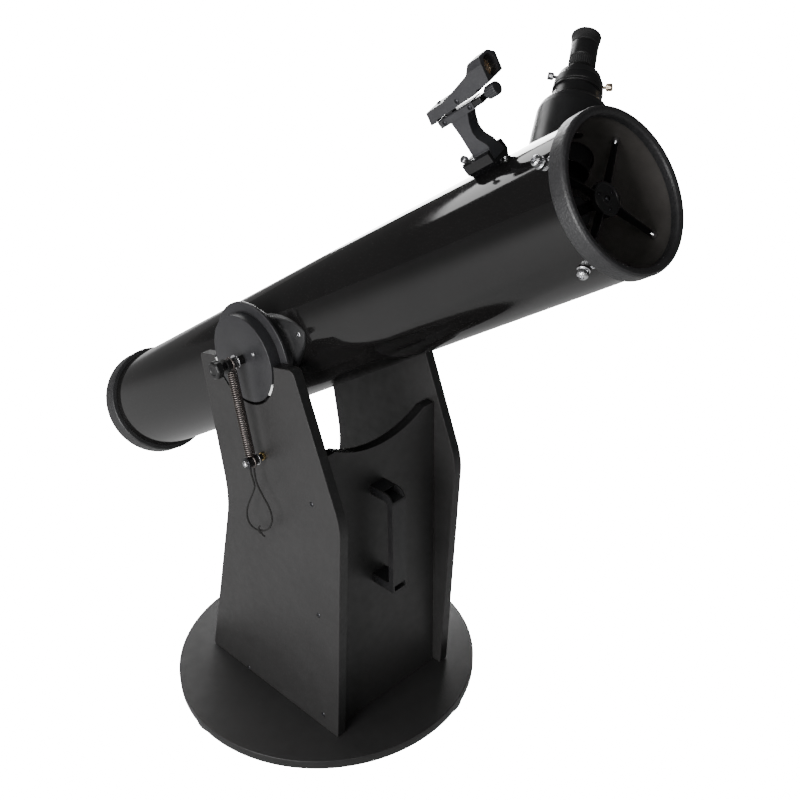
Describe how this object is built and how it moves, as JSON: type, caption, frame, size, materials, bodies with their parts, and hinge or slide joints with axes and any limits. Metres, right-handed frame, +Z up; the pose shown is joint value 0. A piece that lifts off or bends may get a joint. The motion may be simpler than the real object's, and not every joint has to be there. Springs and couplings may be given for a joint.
{
  "type": "dobsonian telescope",
  "caption": "Newtonian reflector in a board rocker box on a turntable base, with a rack focuser, eyepiece, reflex finder, spring tensioners and pull cords.",
  "frame": {"origin": "centre of the whole box on the floor, midway between front and rear in the rest pose", "axes": "+Z up; -Y toward the open front of the tube; +X is the telescope's side that carries the focuser"},
  "size_m": [0.5212, 1.1028, 1.1529],
  "materials": {
    "board": "matt black melamine face on particle board",
    "foot_rubber": "moulded rubber",
    "ptfe": "white low-friction plastic",
    "bright_steel": "bright plated steel",
    "spring_wire": "dark drawn wire, close wound",
    "cord": "thin braided cord",
    "tube_enamel": "high-gloss black enamel outside, flat black inside",
    "silvered_glass": "aluminised glass",
    "window_glass": "coated flat glass",
    "finder_plastic": "fine-grained black moulding",
    "cup_rubber": "soft black rubber",
    "ring_plastic": "crackle-grained black moulding",
    "black_plastic": "black moulding"
  },
  "bodies": {
    "ground_base": {"ground_board": "board", "foot_1": "foot_rubber", "foot_2": "foot_rubber", "foot_3": "foot_rubber", "azimuth_pad_1": "ptfe", "azimuth_pad_2": "ptfe", "azimuth_pad_3": "ptfe", "azimuth_pivot_bolt": "bright_steel", "azimuth_lock_nut": "bright_steel"},
    "rocker_box": {"rocker_disc": "board", "left_side_board": "board", "right_side_board": "board", "front_board": "board", "carry_handle": "black_plastic", "altitude_pad_left_front": "ptfe", "altitude_pad_left_rear": "ptfe", "altitude_pad_right_front": "ptfe", "altitude_pad_right_rear": "ptfe", "spring_post_left": "black_plastic", "spring_post_right": "black_plastic", "tension_spring_left": "spring_wire", "tension_spring_right": "spring_wire", "pull_cord_left": "cord", "pull_cord_right": "cord"},
    "tube_assembly": {"optical_tube": "tube_enamel", "front_end_ring": "ring_plastic", "rear_end_ring": "ring_plastic", "altitude_bearing_left": "black_plastic", "altitude_bearing_right": "black_plastic", "bearing_knob_left": "black_plastic", "bearing_knob_right": "black_plastic", "mirror_cell": "black_plastic", "spider": "black_plastic", "spider_nut_1": "bright_steel", "spider_nut_2": "bright_steel", "spider_nut_3": "bright_steel", "spider_nut_4": "bright_steel", "secondary_holder": "black_plastic", "secondary_mirror": "silvered_glass", "focuser_body": "black_plastic", "finder_shoe": "black_plastic"},
    "mirror_seat": {"primary_mirror": "silvered_glass", "mirror_support_plate": "black_plastic"},
    "drawtube": {"focuser_drawtube": "black_plastic", "eyepiece_collar": "black_plastic"},
    "focus_drive": {"focus_shaft": "bright_steel", "focus_knob_front": "black_plastic", "focus_knob_rear": "black_plastic"},
    "eyepiece_unit": {"eyepiece": "black_plastic", "eyecup": "cup_rubber"},
    "upper_collar_screw": {"collar_screw_upper": "bright_steel"},
    "lower_collar_screw": {"collar_screw_lower": "bright_steel"},
    "finder_mount": {"finder_bracket": "finder_plastic"},
    "reflex_sight": {"finder_body": "finder_plastic", "finder_window": "window_glass"},
    "aim_knob": {"finder_aim_knob": "finder_plastic"},
    "shoe_screw": {"finder_shoe_screw": "bright_steel"},
    "collimation_top": {"collimation_knob_1": "black_plastic"},
    "collimation_left": {"collimation_knob_2": "black_plastic"},
    "collimation_right": {"collimation_knob_3": "black_plastic"}
  },
  "joints": [
    {"name": "azimuth", "type": "hinge", "parent": "ground_base", "child": "rocker_box", "pos_m": [0, 0.0291, 0.05], "axis": [0, 0, 1], "continuous": true},
    {"name": "altitude", "type": "hinge", "parent": "rocker_box", "child": "tube_assembly", "pos_m": [0, 0.027, 0.6866], "axis": [-1, 0, 0], "range_deg": [-32, 57]},
    {"name": "mirror_tilt", "type": "hinge", "parent": "tube_assembly", "child": "mirror_seat", "pos_m": [0, 0.45261, 0.3842], "axis": [1, 0, 0], "range_deg": [-0.25, 0.25]},
    {"name": "focus", "type": "slide", "parent": "tube_assembly", "child": "drawtube", "axis": [0.682, 0.3898, 0.6188], "range_m": [-0.01, 0.03]},
    {"name": "focus_knob_turn", "type": "hinge", "parent": "tube_assembly", "child": "focus_drive", "pos_m": [0.09984, -0.38388, 1.00995], "axis": [0, -0.8461, 0.533], "range_deg": [-240, 85]},
    {"name": "eyepiece_slide", "type": "slide", "parent": "drawtube", "child": "eyepiece_unit", "axis": [0.682, 0.3898, 0.6188], "range_m": [0, 0.03]},
    {"name": "upper_collar_screw_turn", "type": "hinge", "parent": "drawtube", "child": "upper_collar_screw", "pos_m": [0.1347, -0.33598, 1.08598], "axis": [-0.5991, 0.7831, 0.167], "range_deg": [0, 720]},
    {"name": "lower_collar_screw_turn", "type": "hinge", "parent": "drawtube", "child": "lower_collar_screw", "pos_m": [0.1274, -0.34015, 1.07936], "axis": [0.4195, -0.9016, 0.1057], "range_deg": [0, 720]},
    {"name": "finder_slide", "type": "slide", "parent": "tube_assembly", "child": "finder_mount", "axis": [0, 0.8461, -0.533], "range_m": [0, 0.05]},
    {"name": "sight_tilt", "type": "hinge", "parent": "finder_mount", "child": "reflex_sight", "pos_m": [-0.05541, -0.3056, 1.07605], "axis": [-0.9397, -0.1823, -0.2894], "range_deg": [-1.2, 1.2]},
    {"name": "aim_knob_turn", "type": "hinge", "parent": "finder_mount", "child": "aim_knob", "pos_m": [-0.05558, -0.35019, 1.1047], "axis": [0, -0.8461, 0.533], "range_deg": [-216.5, 216.5]},
    {"name": "shoe_screw_turn", "type": "hinge", "parent": "tube_assembly", "child": "shoe_screw", "pos_m": [-0.04862, -0.32956, 1.02489], "axis": [-0.866, 0.2665, 0.4231], "range_deg": [0, 720]},
    {"name": "collimation_top_turn", "type": "hinge", "parent": "tube_assembly", "child": "collimation_top", "pos_m": [0, 0.52835, 0.43931], "axis": [0, -0.8461, 0.533], "range_deg": [-90.5, 90.5]},
    {"name": "collimation_left_turn", "type": "hinge", "parent": "tube_assembly", "child": "collimation_left", "pos_m": [-0.05023, 0.48197, 0.3657], "axis": [0, -0.8461, 0.533], "range_deg": [-360, 360]},
    {"name": "collimation_right_turn", "type": "hinge", "parent": "tube_assembly", "child": "collimation_right", "pos_m": [0.05023, 0.48197, 0.3657], "axis": [0, -0.8461, 0.533], "range_deg": [-360, 360]}
  ],
  "couplings": [
    {"joint": "focus_knob_turn", "follows": "focus", "rad_per_m": -136.99},
    {"joint": "aim_knob_turn", "follows": "sight_tilt", "ratio": 180},
    {"joint": "collimation_top_turn", "follows": "mirror_tilt", "ratio": -360}
  ]
}
